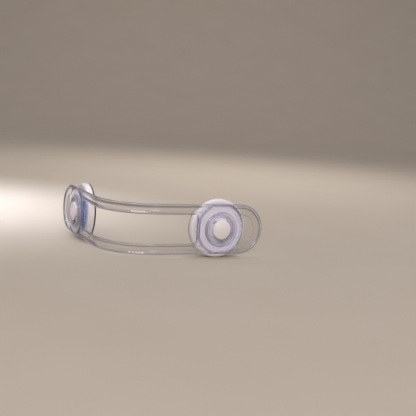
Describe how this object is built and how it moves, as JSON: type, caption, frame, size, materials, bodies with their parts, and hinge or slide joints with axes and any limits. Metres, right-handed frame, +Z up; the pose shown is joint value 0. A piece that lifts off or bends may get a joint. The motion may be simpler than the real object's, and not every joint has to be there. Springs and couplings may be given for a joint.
{
  "type": "cabinet safety lock",
  "caption": "Clear flexible strap lock for a cabinet corner, with stick-on round bases at both ends, blue snap collets and white push buttons that release the strap.",
  "frame": {"origin": "centre of the side unit's adhesive face", "axes": "+Z up along the cabinet's edge, +X out of the side unit's adhesive face towards the side panel, +Y out of the front unit's adhesive face towards the door"},
  "size_m": [0.1271, 0.1271, 0.045],
  "materials": {
    "dark_foam": "matte",
    "white_plastic": "satin",
    "blue_plastic": "gloss",
    "spring_steel": "satin",
    "clear_plastic": "gloss",
    "clear_strap": "gloss"
  },
  "bodies": {
    "side_unit": {"side_adhesive_pad": "dark_foam", "side_back_plate": "white_plastic", "side_base": "white_plastic", "side_collet": "blue_plastic", "side_button_spring": "spring_steel"},
    "side_button": {"side_plunger": "white_plastic", "side_button_cap": "white_plastic"},
    "side_collar_body": {"side_collar": "clear_plastic", "side_collar_ring": "clear_plastic"},
    "strap_side": {"strap_side_half": "clear_strap"},
    "strap_front": {"strap_front_half": "clear_strap"},
    "front_collar_body": {"front_collar": "clear_plastic", "front_collar_ring": "clear_plastic"},
    "front_unit": {"front_adhesive_pad": "dark_foam", "front_back_plate": "white_plastic", "front_base": "white_plastic", "front_collet": "blue_plastic", "front_button_spring": "spring_steel"},
    "front_button": {"front_plunger": "white_plastic", "front_button_cap": "white_plastic"}
  },
  "joints": [
    {"name": "side_button_press", "type": "slide", "parent": "side_unit", "child": "side_button", "axis": [1, 0, 0], "range_m": [0, 0.0012], "stiffness_N_per_m": 900, "deforming": ["side_button_spring", "side_collet"]},
    {"name": "side_release", "type": "slide", "parent": "side_unit", "child": "side_collar_body", "axis": [-1, 0, 0], "range_m": [0, 0.02], "deforming": ["side_collet"]},
    {"name": "side_swivel", "type": "hinge", "parent": "side_collar_body", "child": "strap_side", "pos_m": [0, 0, 0], "axis": [1, 0, 0], "continuous": true},
    {"name": "strap_flex", "type": "hinge", "parent": "strap_side", "child": "strap_front", "pos_m": [0.00105, -0.07665, 0], "axis": [0, 0, -1], "range_deg": [0, 60]},
    {"name": "front_swivel", "type": "hinge", "parent": "strap_front", "child": "front_collar_body", "pos_m": [0.0777, -0.0777, 0], "axis": [0, 1, 0], "continuous": true},
    {"name": "front_release", "type": "slide", "parent": "front_collar_body", "child": "front_unit", "axis": [0, 1, 0], "range_m": [0, 0.02], "deforming": ["front_collet"]},
    {"name": "front_button_press", "type": "slide", "parent": "front_unit", "child": "front_button", "axis": [0, 1, 0], "range_m": [0, 0.0012], "stiffness_N_per_m": 900, "deforming": ["front_button_spring", "front_collet"]}
  ]
}
